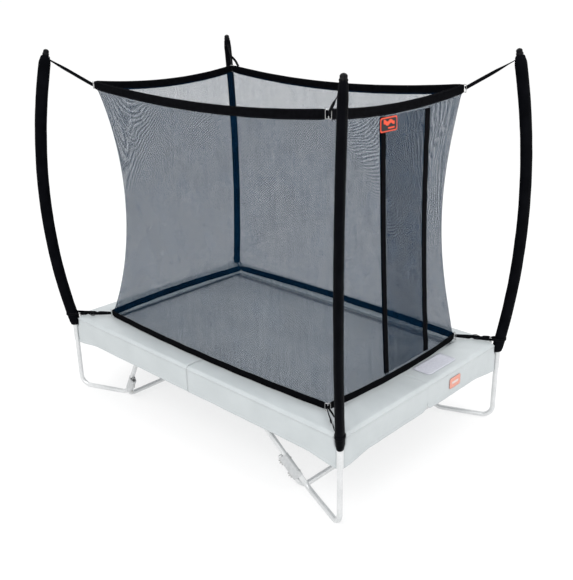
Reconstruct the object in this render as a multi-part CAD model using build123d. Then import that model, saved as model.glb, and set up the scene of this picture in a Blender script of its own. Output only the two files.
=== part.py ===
from build123d import *
from math import cos, radians, sin, sqrt
import os

# Rectangular garden trampoline with a four-pole safety net, millimetres, +Z up.
# Origin: middle of the footprint, on the ground. X runs along the long side, the entrance is on +X,
# and "front" is -Y. Corner shapes are drawn at the +X -Y corner and mirrored to the other three.

# ---- driving dimensions ------------------------------------------------------------------------
RAIL_X, RAIL_Y, RAIL_Z = 1464.0, 926.0, 622.0      # centre lines of the end rails and long rails
RAIL_OD, RAIL_WALL = 42.0, 2.0
CORNER_R = 60.0                                    # bend of the corner tubes
CORNER_ARM = 40.0                                  # straight part of a corner tube past its bend
SPIGOT_LEN, SPIGOT_ROOT, SPIGOT_CLEARANCE = 70.0, 20.0, 0.1

POST_X, POST_Y = 1496.0, 958.0                     # axis shared by leg post, socket and pole foot
LEG_OD, LEG_WALL = 38.0, 3.0
LEG_TOP_Z = 520.0
LEG_BEND_R = 88.0
LEG_TURN = (1070.0, -785.0)                        # where the ground bar turns up into the arm
ARM_RAIL_X = 600.0                                 # where the arm meets the long rail
ARM_GAP = 2.0                                      # between the two tubes that share a clamp
ARM_END_STANDOFF = 42.0                            # arm end to rail centre line
STUB_START, STUB_END = 12.0, 108.0                 # rail stub along the arm, from the rail's centre
STUB_SLACK = 0.6

SOCKET_ID, SOCKET_OD = 39.0, 46.0
SOCKET_Z = (455.0, 596.0)
GUSSET_T = 6.0
SCREW_D, SCREW_HEAD_D, SCREW_SETBACK = 5.0, 12.0, 20.0   # self-tapping screws under the rail ends

CLAMP_START, CLAMP_LEN, CLAMP_WALL = 106.0, 186.0, 3.0
CLAMP_BOLT_D, CLAMP_BOLT_PITCH = 8.0, 110.0
CLAMP_SLACK = 0.5                                  # clamp to tube
BOLT_HEAD_R, BOLT_HEAD_H, BOLT_SPARE = 7.5, 5.3, 24.0
WING_HUB_R, WING_HUB_H, WING_T = 8.0, 9.0, 3.2

MAT_X, MAT_Y = 1293.0, 755.0                       # half size of the bed, before its hem
MAT_Z, MAT_T = 638.0, 4.0
HEM_IN, HEM_OUT = 40.0, 10.0
HEM_T = 6.0
MAT_CORNER_R = 60.0

SPRING_PITCH = 100.0
SPRINGS_LONG, SPRINGS_SHORT = 25, 14
SPRING_HOOK_SPAN = 140.0                           # between the two hook legs
SPRING_COIL_LEN, SPRING_OD = 100.0, 20.0
SPRING_WIRE = 3.2
SPRING_Z = 640.0
HOOK_INSET = 4.0                                   # hook leg to rail centre line
HOOK_DROP, HOOK_LEG, HOOK_BEND_R = 2.2, 14.0, 4.0  # shank below the coil's top, leg length, bend
HOOK_IN_COIL = 4.0                                 # shank's reach into the coil
HOOK_HOLE_D = 7.0
V_RING_WIRE, V_RING_BASE, V_RING_APEX, V_RING_DEPTH = 4.0, 44.0, 16.0, 31.0
V_RING_PAST_HOOK = 7.0                             # apex past the hook leg

PAD_X, PAD_Y = 1500.0, 960.0                       # half size over the skirt
PAD_IN_X, PAD_IN_Y = 1238.0, 748.0
PAD_Z = (655.0, 681.0)
SKIRT_Z, SKIRT_T = 470.0, 3.0
PAD_CORNER_R, PAD_IN_R = 30.0, 40.0
PAD_SPLIT_GAP = 2.0
PAD_NOTCH_Z, PAD_NOTCH_GAP = 595.0, 5.0            # the pole cut-out is wide above this height

POLE_OD, POLE_WALL = 38.0, 2.0
POLE_FOOT_Z, POLE_STRAIGHT_Z = 523.0, 600.0
POLE_OUT = (0.53, -0.848)                          # horizontal direction that a pole bows in
POLE_BEND_R, POLE_LEAN = 250.0, 12.7
POLE_R, POLE_SWEEP = 4765.0, 26.9
SLEEVE_RADIAL, SLEEVE_LATERAL, SLEEVE_BORE = 96.0, 64.0, 39.2
SLEEVE_STOP = 60.0                                 # bare pole between sleeve end and pole end

NET_TOP = (1198.0, 729.0, 2621.0)                  # net corner at the top band
NET_BOTTOM = (1222.0, 760.0, 714.0)                # net corner at the bottom band
NET_CORNER_PULL = 105.0                            # corners drawn inward at mid height
NET_BOW_BOTTOM, NET_BOW_TOP, NET_BOW_MID = 45.0, -25.0, 100.0
NET_T, NET_INSET = 3.0, 8.0
NET_SAG_LONG, NET_SAG_SHORT = 67.0, 48.0
TOP_BAND_W, BOTTOM_BAND_W, BAND_T = 66.0, 56.0, 3.0
BAND_END_GAP = 6.0                                 # band end short of the net corner

DOOR_Y = (-135.0, 355.0)                           # hinge line and free edge of the entrance flap
DOOR_Z = (748.0, 2532.0)
DOOR_TAPE_W, HINGE_TAPE_W, INNER_TAPE_W, TAPE_T = 60.0, 50.0, 25.0, 2.0
HINGE_GAP = 3.0                                    # outer panel short of the hinge line
INNER_LAYER_Y = -185.0                             # free edge of the inner layer, behind the outer panel
INNER_LAYER_GAP = 12.0

RING_WIRE = 5.0
RING_STANDOFF = 5.0                                # ring's plane past the net corner
RING_W, RING_H = 36.0, 54.0
STRAP_W, STRAP_T = 25.0, 2.5
STRAP_START = 18.0                                 # past the net corner, clear of the ring

ARM_FOOT = Vector(LEG_TURN[0], LEG_TURN[1], LEG_OD / 2)
ARM_HEAD = Vector(ARM_RAIL_X, -RAIL_Y, RAIL_Z)
ARM_DIR = (ARM_HEAD - ARM_FOOT).normalized()
ARM_FLAT = Vector(ARM_DIR.X, ARM_DIR.Y, 0).normalized()
ARM_SIDE = (ARM_FLAT * ARM_DIR.Z - Vector(0, 0, 1) * (ARM_DIR.X ** 2 + ARM_DIR.Y ** 2) ** 0.5).normalized()
ARM_PITCH = LEG_OD + ARM_GAP                       # centre distance of the clamped tubes
CORNERS = {"front_right": (1, 1), "front_left": (-1, 1), "back_right": (1, -1), "back_left": (-1, -1)}


# ---- helpers -----------------------------------------------------------------------------------
def tube(path, outer_d, wall):
    """Round tube along a path."""
    section = Circle(outer_d / 2) - Circle(outer_d / 2 - wall)
    return sweep(Plane(origin=path @ 0, z_dir=path % 0) * section, path=path)


def rod(path, diameter):
    """Solid round wire along a path."""
    return sweep(Plane(origin=path @ 0, z_dir=path % 0) * Circle(diameter / 2), path=path)


def bar(start, end, radius):
    """Cylinder between two points."""
    run = end - start
    return extrude(Plane(origin=start, z_dir=run) * Circle(radius), amount=run.length)


def at_corner(shape, corner):
    """Mirror a shape from the +X -Y corner to a named corner."""
    sx, sy = CORNERS[corner]
    if sx < 0:
        shape = mirror(shape, about=Plane.YZ)
    if sy < 0:
        shape = mirror(shape, about=Plane.XZ)
    return shape


def save(name, *shapes):
    """Write one node."""
    solids = [s for shape in shapes for s in shape.solids()]
    node = solids[0] if len(solids) == 1 else Compound(children=solids)
    node.label = name
    export_step(node, f"parts/{name}.step")


def slab(half_x, half_y, z_low, z_high, radius=0.0):
    """Flat plate centred on Z, with rounded corners where a radius is given."""
    size = (2 * half_x, 2 * half_y)
    outline = RectangleRounded(*size, radius) if radius else Rectangle(*size)
    return Pos(0, 0, z_low) * extrude(outline, amount=z_high - z_low)


def pipe(outer_r, inner_r, length):
    """Straight round pipe centred on the origin, along Z."""
    return Cylinder(outer_r, length) - Cylinder(inner_r, length)


# ---- frame -------------------------------------------------------------------------------------
def spring_offsets(count):
    return [(i - (count - 1) / 2) * SPRING_PITCH for i in range(count)]


def hook_hole(x, y):
    """Hole through a rail's top wall for a spring hook."""
    return Pos(x, y, RAIL_Z + RAIL_OD / 2) * Cylinder(HOOK_HOLE_D / 2, 16)


def screw_hole(x, y):
    """Hole through a rail's bottom wall and the spigot in it."""
    return Pos(x, y, RAIL_Z - RAIL_OD / 2) * Cylinder(SCREW_D / 2 + 0.2, 14)


def long_rail():
    """Front rail with hook holes and the two stubs that the leg arms slide over."""
    half = RAIL_X - CORNER_R - CORNER_ARM
    start, end = Vector(-half, -RAIL_Y, RAIL_Z), Vector(half, -RAIL_Y, RAIL_Z)
    rail = tube(Line(start, end), RAIL_OD, RAIL_WALL)
    stub_line = Line(ARM_HEAD - ARM_DIR * STUB_START, ARM_HEAD - ARM_DIR * STUB_END)
    stub = tube(stub_line, LEG_OD - 2 * LEG_WALL - STUB_SLACK, RAIL_WALL)
    stub = stub - bar(start, end, RAIL_OD / 2 - RAIL_WALL)
    stub = max(stub.solids(), key=lambda s: s.volume)
    rail = rail + stub + mirror(stub, about=Plane.YZ)
    for x in spring_offsets(SPRINGS_LONG):
        rail -= hook_hole(x, -RAIL_Y + HOOK_INSET)
    for side in (-1, 1):
        rail -= screw_hole(side * (half - SCREW_SETBACK), -RAIL_Y)
    return rail


def end_rail():
    """Right-hand rail, between two corner tubes."""
    half = RAIL_Y - CORNER_R - CORNER_ARM
    rail = tube(Line((RAIL_X, -half, RAIL_Z), (RAIL_X, half, RAIL_Z)), RAIL_OD, RAIL_WALL)
    for y in spring_offsets(SPRINGS_SHORT):
        rail -= hook_hole(RAIL_X - HOOK_INSET, y)
    for side in (-1, 1):
        rail -= screw_hole(RAIL_X, side * (half - SCREW_SETBACK))
    return rail


def corner_path():
    """Centre line of a bent corner tube."""
    x_end, y_end = RAIL_X - CORNER_R - CORNER_ARM, -RAIL_Y + CORNER_R + CORNER_ARM
    points = ((x_end, -RAIL_Y, RAIL_Z), (RAIL_X, -RAIL_Y, RAIL_Z), (RAIL_X, y_end, RAIL_Z))
    return FilletPolyline(*points, radius=CORNER_R)


def spigot(start, end):
    """Reduced end of a corner tube that slides into a rail, drawn from inside the tube outward."""
    outer_r = RAIL_OD / 2 - RAIL_WALL - SPIGOT_CLEARANCE
    return bar(start, end, outer_r) - bar(start, end, outer_r - RAIL_WALL)


def spigot_root(start, end):
    """Short sleeve that joins a spigot to the inside of the corner tube."""
    outer_r = RAIL_OD / 2 - RAIL_WALL
    return bar(start, end, outer_r + SPIGOT_CLEARANCE) - bar(start, end, outer_r - RAIL_WALL)


def gusset(path):
    """Plate between the bent tube and the pole socket."""
    knee_x = RAIL_X - CORNER_R * (1 - cos(radians(45)))
    knee_y = -RAIL_Y + CORNER_R * (1 - cos(radians(45)))
    plane = Plane(origin=(knee_x, knee_y, 0), x_dir=(1, -1, 0), z_dir=(-1, -1, 0))
    reach = sqrt((POST_X - knee_x) ** 2 + (POST_Y + knee_y) ** 2) - SOCKET_OD / 2 + 1.5
    low, high = SOCKET_Z[0] + 15, SOCKET_Z[1] - 4
    points = [(-12, RAIL_Z - 17), (reach, low), (reach, high), (20, high + 5), (10, RAIL_Z - 16)]
    up = 1 if plane.y_dir.Z > 0 else -1
    outline = Polygon(*[(across, up * height) for across, height in points], align=None)
    plate = extrude(plane * outline, amount=GUSSET_T / 2, both=True)
    plate = plate - Pos(POST_X, -POST_Y, sum(SOCKET_Z) / 2) * Cylinder(SOCKET_ID / 2, 200)
    plate = plate - rod(path, RAIL_OD - 2 * RAIL_WALL)
    return max(plate.solids(), key=lambda s: s.volume)


def corner_tube():
    """Bent corner tube with a spigot each way, a gusset and the vertical pole socket."""
    x_end, y_end = RAIL_X - CORNER_R - CORNER_ARM, -RAIL_Y + CORNER_R + CORNER_ARM
    path = corner_path()
    body = tube(path, RAIL_OD, RAIL_WALL)
    for end, outward in ((Vector(x_end, -RAIL_Y, RAIL_Z), Vector(-1, 0, 0)),
                         (Vector(RAIL_X, y_end, RAIL_Z), Vector(0, 1, 0))):
        tip = end + outward * SPIGOT_LEN
        body += spigot(end - outward * SPIGOT_ROOT, tip) + spigot_root(end - outward * SPIGOT_ROOT, end)
        hole = end + outward * SCREW_SETBACK
        body -= screw_hole(hole.X, hole.Y)
    socket = pipe(SOCKET_OD / 2, SOCKET_ID / 2, SOCKET_Z[1] - SOCKET_Z[0])
    return body + Pos(POST_X, -POST_Y, sum(SOCKET_Z) / 2) * socket + gusset(path)


def frame_screws():
    """Self-tapping screws, one under each rail end."""
    z = RAIL_Z - RAIL_OD / 2
    screw = Pos(0, 0, -2.3) * Cylinder(SCREW_HEAD_D / 2, 3.6) + Pos(0, 0, 3) * Cylinder(SCREW_D / 2, 9)
    x = RAIL_X - CORNER_R - CORNER_ARM - SCREW_SETBACK
    y = RAIL_Y - CORNER_R - CORNER_ARM - SCREW_SETBACK
    places = [(sx * x, sy * RAIL_Y) for sx in (-1, 1) for sy in (-1, 1)]
    places += [(sx * RAIL_X, sy * y) for sx in (-1, 1) for sy in (-1, 1)]
    return [Pos(px, py, z - 0.2) * screw for px, py in places]


# ---- legs --------------------------------------------------------------------------------------
def clamp_plane(along):
    """Plane across both clamped tubes, its x towards the inner tube, its z up the arm."""
    return Plane(origin=ARM_FOOT + ARM_DIR * along, x_dir=ARM_SIDE, z_dir=ARM_DIR)


def clamp_bolt_places():
    middle = CLAMP_START + CLAMP_LEN / 2
    return [middle - CLAMP_BOLT_PITCH / 2, middle + CLAMP_BOLT_PITCH / 2]


def clamp_bolt_holes():
    holes = []
    for along in clamp_bolt_places():
        start = ARM_FOOT + ARM_DIR * along - ARM_SIDE * 40
        holes.append(bar(start, start + ARM_SIDE * 130, CLAMP_BOLT_D / 2 + 0.3))
    return holes


def corner_leg():
    """Post, foot bend, diagonal ground bar and arm up to the long rail, bent from one tube."""
    ground = LEG_OD / 2
    path = FilletPolyline(
        (POST_X, -POST_Y, LEG_TOP_Z), (POST_X, -POST_Y, ground), (LEG_TURN[0], LEG_TURN[1], ground),
        ARM_HEAD - ARM_DIR * ARM_END_STANDOFF, radius=LEG_BEND_R)
    leg = tube(path, LEG_OD, LEG_WALL)
    for hole in clamp_bolt_holes():
        leg -= hole
    return leg


def end_leg():
    """Cross bar on the ground whose two ends turn up beside the corner legs' arms."""
    low = ARM_FOOT + ARM_FLAT * (ARM_PITCH / ARM_DIR.Z)
    high = ARM_FOOT + ARM_SIDE * ARM_PITCH + ARM_DIR * (CLAMP_START + CLAMP_LEN + 12)
    points = [high, low, Vector(low.X, -low.Y, low.Z), Vector(high.X, -high.Y, high.Z)]
    leg = tube(FilletPolyline(*points, radius=LEG_BEND_R - 8), LEG_OD, LEG_WALL)
    for hole in clamp_bolt_holes():
        leg -= hole
        leg -= mirror(hole, about=Plane.XZ)
    return leg


def leg_clamp():
    """Oblong sleeve round the two arms."""
    inner = SlotCenterToCenter(ARM_PITCH, LEG_OD + 2 * CLAMP_SLACK)
    outer = SlotCenterToCenter(ARM_PITCH, LEG_OD + 2 * CLAMP_SLACK + 2 * CLAMP_WALL)
    section = Pos(ARM_PITCH / 2, 0) * (outer - inner)
    sleeve = extrude(clamp_plane(CLAMP_START) * section, amount=CLAMP_LEN)
    for hole in clamp_bolt_holes():
        sleeve -= hole
    return sleeve


def clamp_bolts():
    """Hex-head bolts through clamp and tubes."""
    reach = LEG_OD / 2 + CLAMP_SLACK + CLAMP_WALL
    bolts = []
    for along in clamp_bolt_places():
        origin = ARM_FOOT + ARM_DIR * along - ARM_SIDE * (reach + 0.2)
        plane = Plane(origin=origin, x_dir=ARM_DIR, z_dir=ARM_SIDE)
        shank = extrude(plane * Circle(CLAMP_BOLT_D / 2), amount=ARM_PITCH + 2 * reach + BOLT_SPARE)
        head = extrude(plane * RegularPolygon(BOLT_HEAD_R, 6), amount=-BOLT_HEAD_H)
        bolts.append(shank + head)
    return bolts


def wing_nuts():
    """Wing nuts on the inner side of each clamp."""
    reach = ARM_PITCH + LEG_OD / 2 + CLAMP_SLACK + CLAMP_WALL + 0.4
    wing_points = [(5, 2), (20, 9), (24, 15), (20, 19), (13, 15), (5, 8)]    # out from the axis, along it
    nuts = []
    for along in clamp_bolt_places():
        origin = ARM_FOOT + ARM_DIR * along + ARM_SIDE * reach
        plane = Plane(origin=origin, x_dir=ARM_DIR, z_dir=ARM_SIDE)
        upright = Plane(origin=origin, x_dir=ARM_DIR, z_dir=ARM_DIR.cross(ARM_SIDE))
        nut = extrude(plane * Circle(WING_HUB_R), amount=WING_HUB_H)
        for side in (-1, 1):
            wing = Polygon(*[(side * out, up) for out, up in wing_points], align=None)
            nut += extrude(upright * wing, amount=WING_T / 2, both=True)
        nut -= extrude(plane * Circle(CLAMP_BOLT_D / 2 + 0.1), amount=WING_HUB_H + 1)
        nuts.append(nut)
    return nuts


# ---- bed ---------------------------------------------------------------------------------------
def bed():
    return slab(MAT_X - HEM_IN, MAT_Y - HEM_IN, MAT_Z, MAT_Z + MAT_T, MAT_CORNER_R)


def bed_hem():
    """Webbing border that holds the V rings."""
    middle = MAT_Z + MAT_T / 2
    low, high = middle - HEM_T / 2, middle + HEM_T / 2
    outer = slab(MAT_X + HEM_OUT, MAT_Y + HEM_OUT, low, high, MAT_CORNER_R)
    return outer - slab(MAT_X - HEM_IN, MAT_Y - HEM_IN, low, high, MAT_CORNER_R)


def placed_on_sides(item):
    """Copies of a part drawn at the middle of the front side, at every spring place."""
    copies = []
    for x in spring_offsets(SPRINGS_LONG):
        front = Pos(x, 0, 0) * item
        copies += [front, mirror(front, about=Plane.XZ)]
    shift = (RAIL_X - RAIL_Y)
    for y in spring_offsets(SPRINGS_SHORT):
        right = Pos(0, y, 0) * Pos(shift, 0, 0) * Rot(0, 0, 90) * item
        copies += [right, mirror(right, about=Plane.YZ)]
    return copies


def spring():
    """One extension spring at the front: coil envelope with a hook at each end."""
    outer, inner = -RAIL_Y + HOOK_INSET, -RAIL_Y + HOOK_INSET + SPRING_HOOK_SPAN
    wire_z = SPRING_Z + (SPRING_OD - SPRING_WIRE) / 2 - HOOK_DROP
    shank = (SPRING_HOOK_SPAN - SPRING_COIL_LEN) / 2 + HOOK_IN_COIL
    coil = Pos(0, (outer + inner) / 2, SPRING_Z) * Rot(90, 0, 0) * Cylinder(SPRING_OD / 2, SPRING_COIL_LEN)
    for leg, start in ((outer, outer + shank), (inner, inner - shank)):
        points = [(0, start, wire_z), (0, leg, wire_z), (0, leg, wire_z - HOOK_LEG)]
        coil += rod(FilletPolyline(*points, radius=HOOK_BEND_R), SPRING_WIRE)
    return coil


def v_ring():
    """Triangular wire ring at the front edge of the bed, its base sewn into the hem."""
    apex = -RAIL_Y + HOOK_INSET + SPRING_HOOK_SPAN - V_RING_PAST_HOOK
    base = apex + V_RING_DEPTH
    z = MAT_Z + MAT_T / 2
    wide, narrow = V_RING_BASE / 2, V_RING_APEX / 2
    points = [(wide, base, z), (narrow, apex, z), (-narrow, apex, z), (-wide, base, z)]
    path = FilletPolyline(*points, radius=5.0, close=True)
    return rod(path, V_RING_WIRE)


# ---- pads --------------------------------------------------------------------------------------
def pad():
    """L-shaped pad over the springs at one corner, with its skirt and the pole cut-out."""
    top = slab(PAD_X, PAD_Y, *PAD_Z, radius=PAD_CORNER_R)
    top -= slab(PAD_IN_X, PAD_IN_Y, *PAD_Z, radius=PAD_IN_R)
    skirt = slab(PAD_X, PAD_Y, SKIRT_Z, PAD_Z[0], PAD_CORNER_R)
    skirt -= slab(PAD_X - SKIRT_T, PAD_Y - SKIRT_T, SKIRT_Z, PAD_Z[0], PAD_CORNER_R - SKIRT_T)
    middle = ((PAD_X + PAD_SPLIT_GAP) / 2, -(PAD_Y + PAD_SPLIT_GAP) / 2, RAIL_Z)
    cover = (top + skirt) & Pos(*middle) * Box(PAD_X, PAD_Y, 400)
    cover -= Pos(POST_X, -POST_Y, PAD_NOTCH_Z + 100) * Cylinder(SLEEVE_RADIAL / 2 + PAD_NOTCH_GAP, 200)
    cover -= Pos(POST_X, -POST_Y, PAD_NOTCH_Z - 100) * Cylinder(SOCKET_OD / 2 + PAD_NOTCH_GAP - 1, 200)
    return max(cover.solids(), key=lambda s: s.volume)


# ---- poles -------------------------------------------------------------------------------------
def pole_path(straight, sweep_to):
    """Pole centre line in its own upright plane: straight foot, short bend out, long arc back."""
    edges = []
    if straight:
        edges.append(Line((0, POLE_FOOT_Z), (0, POLE_STRAIGHT_Z)))
    bend = JernArc((0, POLE_STRAIGHT_Z), (0, 1), POLE_BEND_R, -POLE_LEAN)
    bow = JernArc(bend @ 1, bend % 1, POLE_R, sweep_to)
    edges += [bend, bow]
    plane = Plane(origin=(POST_X, -POST_Y, 0), x_dir=(POLE_OUT[0], POLE_OUT[1], 0),
                  z_dir=(POLE_OUT[1], -POLE_OUT[0], 0))
    return plane * Wire([e for part in edges for e in part.edges()])


def pole():
    return tube(pole_path(True, POLE_SWEEP), POLE_OD, POLE_WALL)


def sleeve_sweep():
    """Arc of the bow that the sleeve covers, in degrees."""
    return POLE_SWEEP - SLEEVE_STOP / POLE_R * 57.2958


def pole_sleeve():
    """Oval foam sleeve with its long axis across the bow."""
    path = pole_path(False, sleeve_sweep())
    section = Ellipse(SLEEVE_RADIAL / 2, SLEEVE_LATERAL / 2) - Circle(SLEEVE_BORE / 2)
    plane = Plane(origin=path @ 0, x_dir=(POLE_OUT[0], POLE_OUT[1], 0), z_dir=path % 0)
    return sweep(plane * section, path=path) - rod(corner_path(), RAIL_OD + 3)


def pole_cap():
    """Stepped plug over the pole's end, with a groove for the strap."""
    path = pole_path(True, POLE_SWEEP)
    frame = Plane(origin=path @ 1, z_dir=path % 1)
    bore = POLE_OD / 2 + 0.7
    skirt = [(bore, -57), (27, -57), (27, -43), (23, -41), (23, -26), (25.5, -24), (25.5, -14)]
    dome = [(22, -10), (22, 6), (17, 13), (8, 18), (0, 19), (0, 1), (bore, 1)]
    profile = Plane.XZ * make_face(Polyline(*skirt, *dome, close=True))
    return frame * revolve(profile, axis=Axis.Z)


# ---- net ---------------------------------------------------------------------------------------
def net_shape(height, long_side):
    """Half length, offset and bow of a net wall at a height."""
    t = min(max((height - NET_BOTTOM[2]) / (NET_TOP[2] - NET_BOTTOM[2]), 0.0), 1.0)
    belly = 4 * t * (1 - t)
    half = [NET_BOTTOM[i] + (NET_TOP[i] - NET_BOTTOM[i]) * t - NET_CORNER_PULL * belly for i in (0, 1)]
    bow = NET_BOW_BOTTOM + (NET_BOW_TOP - NET_BOW_BOTTOM) * t + NET_BOW_MID * belly
    length, offset = half if long_side else half[::-1]
    return length, offset, bow


def wall_slice(height, long_side, inset, thickness, end_gap):
    """Closed outline of a wall at one height, drawn on the -Y side."""
    length, offset, bow = net_shape(height, long_side)
    length -= end_gap
    near, far = -(offset - inset), -(offset - inset - thickness)
    outline = Wire([
        ThreePointArc((-length, near), (0, near - bow), (length, near)).edge(),
        Line((length, near), (length, far)).edge(),
        ThreePointArc((length, far), (0, far - bow), (-length, far)).edge(),
        Line((-length, far), (-length, near)).edge()])
    return Pos(0, 0, height) * Face(outline)


def net_wall(long_side, inset=NET_INSET, thickness=NET_T, end_gap=14.0):
    """Thin curved wall, trimmed above along the sagging top band; the short wall is turned to +X."""
    low, high = NET_BOTTOM[2] - 20, NET_TOP[2] + 4
    heights = [low, NET_BOTTOM[2] + 480, (low + high) / 2, NET_TOP[2] - 480, high]
    wall = loft([wall_slice(h, long_side, inset, thickness, end_gap) for h in heights])
    half = (NET_TOP[0] if long_side else NET_TOP[1]) + 120
    sag = NET_SAG_LONG if long_side else NET_SAG_SHORT
    edge = NET_TOP[2] + 12
    rim = ThreePointArc((-half, edge + 14), (0, edge - sag), (half, edge + 14)).edge()
    keep = Wire([rim, Line((half, edge + 14), (half, low)).edge(), Line((half, low), (-half, low)).edge(),
                 Line((-half, low), (-half, edge + 14)).edge()])
    keep = extrude(Plane.XZ * Face(keep), amount=1600, both=True)
    wall = wall & keep
    return wall if long_side else Rot(0, 0, 90) * wall


def cut_y(shape, y_low, y_high, z_low=0.0, z_high=3000.0):
    """Part of a shape between two Y values and two heights."""
    box = Pos(1200, (y_low + y_high) / 2, (z_low + z_high) / 2) * Box(600, y_high - y_low, z_high - z_low)
    return shape & box


def band(corner, long_side, width, sag, bow):
    """Webbing band between two net corners, drawn on the -Y side."""
    half, offset = (corner[0], corner[1]) if long_side else (corner[1], corner[0])
    half -= BAND_END_GAP
    middle = (0, -offset - bow, corner[2] - sag)
    path = ThreePointArc((-half, -offset, corner[2]), middle, (half, -offset, corner[2]))
    tangent = path % 0
    plane = Plane(origin=path @ 0, x_dir=Vector(0, 0, 1) - tangent * tangent.Z, z_dir=tangent)
    strip = sweep(plane * Rectangle(width, BAND_T), path=path)
    return strip if long_side else Rot(0, 0, 90) * strip


def corner_ring(corner):
    """Upright rounded wire ring at a net corner, its face toward the pole."""
    out = Vector(POLE_OUT[0], POLE_OUT[1], 0)
    across = Vector(-POLE_OUT[1], POLE_OUT[0], 0)
    centre = Vector(corner[0], -corner[1], corner[2]) + out * RING_STANDOFF
    half_w, half_h = RING_W / 2, RING_H / 2
    corners = [(-half_w, half_h), (half_w, half_h), (half_w, -half_h), (-half_w, -half_h)]
    places = [centre + across * sideways + Vector(0, 0, height) for sideways, height in corners]
    return rod(FilletPolyline(*places, radius=5.0, close=True), RING_WIRE)


def strap(start, end):
    """Flat webbing strap between two points, its faces as level as its slope allows."""
    run = end - start
    side = run.cross(Vector(0, 0, 1)).normalized()
    plane = Plane(origin=start, x_dir=side, z_dir=run)
    return extrude(plane * Rectangle(STRAP_W, STRAP_T), amount=run.length)


def toward(start, end, keep_start, keep_end):
    """Two points on a line, pulled in from both its ends."""
    run = (end - start).normalized()
    return start + run * keep_start, end - run * keep_end


def top_strap():
    """Strap from a top ring to the groove in the pole cap."""
    groove = pole_path(True, POLE_SWEEP) @ 1 - Vector(0, 0, 14)
    return strap(*toward(Vector(NET_TOP[0], -NET_TOP[1], NET_TOP[2]), groove, STRAP_START, 30))


def bottom_strap():
    """Strap from a bottom ring to the foot of the pole sleeve."""
    foot = Vector(POST_X, -POST_Y, NET_BOTTOM[2] - 18)
    return strap(*toward(Vector(NET_BOTTOM[0], -NET_BOTTOM[1], NET_BOTTOM[2]), foot, STRAP_START, 56))


# ---- nodes -------------------------------------------------------------------------------------
def save_pair(stem, names, shape, about):
    """Write a shape and its mirror image as two nodes."""
    save(f"{stem}_{names[0]}", shape)
    save(f"{stem}_{names[1]}", mirror(shape, about=about))


def build_frame_and_legs():
    save_pair("rail", ("front", "back"), long_rail(), Plane.XZ)
    save_pair("rail", ("right", "left"), end_rail(), Plane.YZ)
    save("frame_screws", *frame_screws())
    save_pair("end_leg", ("right", "left"), end_leg(), Plane.YZ)


def build_corners():
    """Pieces that repeat at the four corners, as a node each or as a group."""
    single = {"frame_corner": corner_tube(), "corner_leg": corner_leg(), "pad": pad(), "pole": pole(),
              "pole_sleeve": pole_sleeve()}
    for stem, shape in single.items():
        for corner in CORNERS:
            save(f"{stem}_{corner}", at_corner(shape, corner))
    groups = {"leg_clamps": [leg_clamp()], "clamp_bolts": clamp_bolts(), "wing_nuts": wing_nuts(),
              "pole_caps": [pole_cap()], "top_rings": [corner_ring(NET_TOP)],
              "bottom_rings": [corner_ring(NET_BOTTOM)], "top_straps": [top_strap()],
              "bottom_straps": [bottom_strap()]}
    for name, shapes in groups.items():
        save(name, *[at_corner(shape, corner) for corner in CORNERS for shape in shapes])


def build_bed():
    save("jumping_mat", bed())
    save("mat_hem", bed_hem())
    save("mat_v_rings", *placed_on_sides(v_ring()))
    save("springs", *placed_on_sides(spring()))


def build_walls():
    """Three plain net walls, and the entrance with its two overlapping layers and their edge tapes."""
    save_pair("net", ("front", "back"), net_wall(True), Plane.XZ)
    right_wall = net_wall(False)
    save("net_left", mirror(right_wall, about=Plane.YZ))
    inner_inset = NET_INSET + INNER_LAYER_GAP
    tape_standoff = TAPE_T + 1
    inner_wall = net_wall(False, inset=inner_inset, end_gap=22.0)
    inner_tape = net_wall(False, inset=inner_inset - tape_standoff, thickness=TAPE_T)
    door_tape = net_wall(False, inset=NET_INSET - tape_standoff, thickness=TAPE_T)
    hinge_y, free_y = DOOR_Y
    outer_edge = hinge_y - HINGE_GAP
    save("net_entrance_outer", cut_y(right_wall, -1000, outer_edge))
    save("entrance_hinge_tape", cut_y(door_tape, outer_edge - HINGE_TAPE_W, outer_edge, *DOOR_Z))
    save("net_entrance_inner", cut_y(inner_wall, INNER_LAYER_Y, 1000))
    save("entrance_inner_tape", cut_y(inner_tape, INNER_LAYER_Y, INNER_LAYER_Y + INNER_TAPE_W, *DOOR_Z))
    save("entrance_flap", cut_y(right_wall, *DOOR_Y, *DOOR_Z))
    save("entrance_flap_tape", cut_y(door_tape, free_y - DOOR_TAPE_W, free_y, *DOOR_Z))


def build_bands(level, corner, width, sags, bow):
    """Four webbing bands round the net at one level."""
    save_pair(f"{level}_band", ("front", "back"), band(corner, True, width, sags[0], bow), Plane.XZ)
    save_pair(f"{level}_band", ("right", "left"), band(corner, False, width, sags[1], bow), Plane.YZ)


os.makedirs("parts", exist_ok=True)
build_frame_and_legs()
build_corners()
build_bed()
build_walls()
build_bands("top", NET_TOP, TOP_BAND_W, (NET_SAG_LONG, NET_SAG_SHORT), NET_BOW_TOP)
build_bands("bottom", NET_BOTTOM, BOTTOM_BAND_W, (0, 0), NET_BOW_BOTTOM)
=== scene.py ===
from math import atan2, copysign, cos, exp, hypot, pi, radians, sin, sqrt

import bmesh
import bpy
from mathutils import Matrix, Vector, noise


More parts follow.
